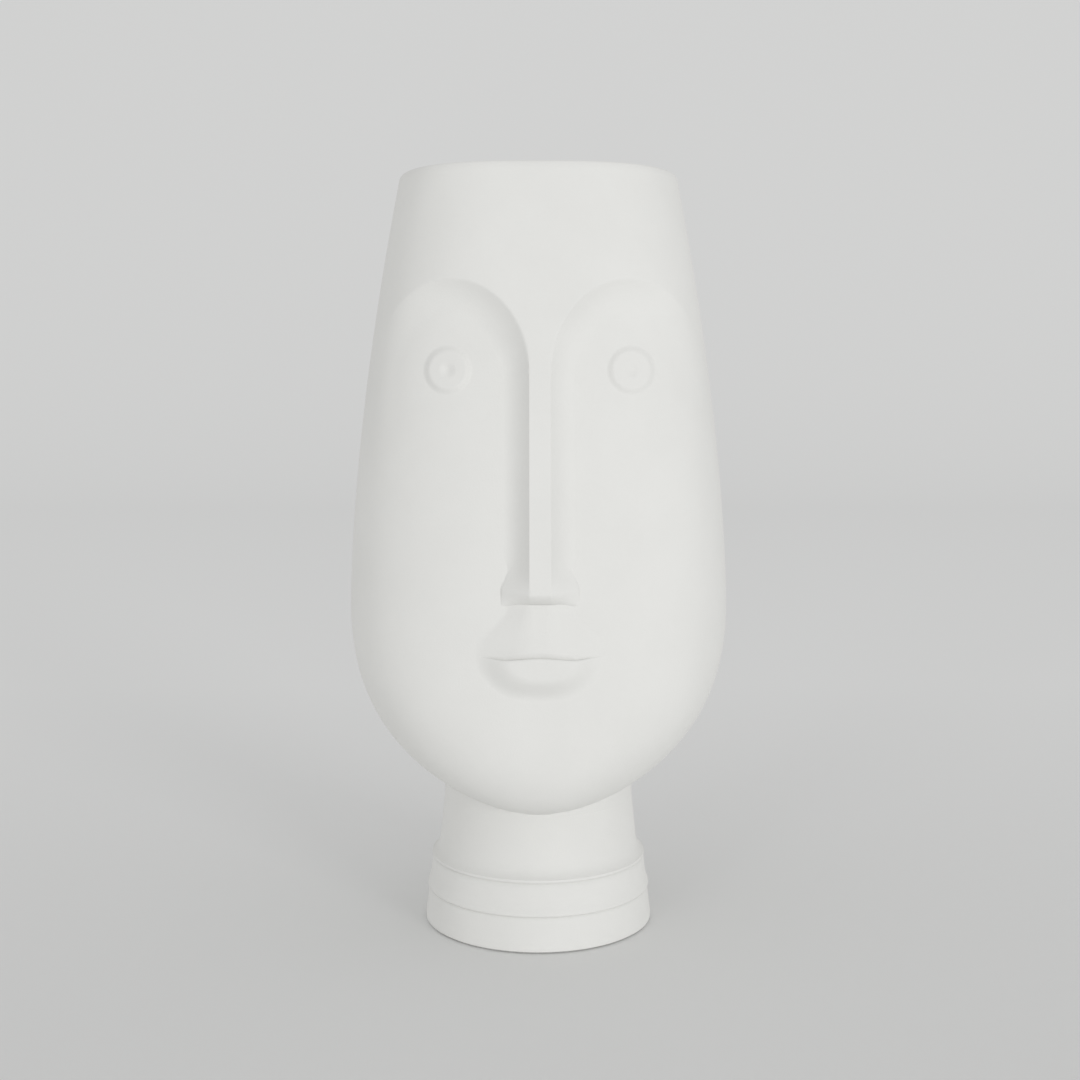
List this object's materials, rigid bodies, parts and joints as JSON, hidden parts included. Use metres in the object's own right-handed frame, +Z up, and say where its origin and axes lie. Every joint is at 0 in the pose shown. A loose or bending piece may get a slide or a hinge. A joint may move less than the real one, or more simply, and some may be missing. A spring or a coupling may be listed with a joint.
{
  "type": "face vase",
  "caption": "Tall ceramic vase in the form of a stylised human head with arched brows, a ridged nose, button eyes and full lips, open at the top, on a short ringed neck and foot.",
  "frame": {"origin": "centre of the foot's underside, on the surface that the vase stands on", "axes": "+Z up to the rim, -Y the way the face looks, +X towards the viewer's right of the face"},
  "size_m": [0.1496, 0.1617, 0.3],
  "materials": {
    "bisque": "matt off-white, faintly grainy",
    "bare_clay": "unglazed clay, wiped clean",
    "inner_glaze": "clear satin glaze, watertight"
  },
  "bodies": {
    "root": {"head_shell": "bisque", "nose": "bisque", "left_eye": "bisque", "right_eye": "bisque", "upper_lip": "bisque", "lower_lip": "bisque", "neck": "bisque", "neck_ring": "bisque", "foot_ring": "bisque", "base_floor": "bare_clay", "inner_glaze": "inner_glaze"}
  },
  "joints": []
}
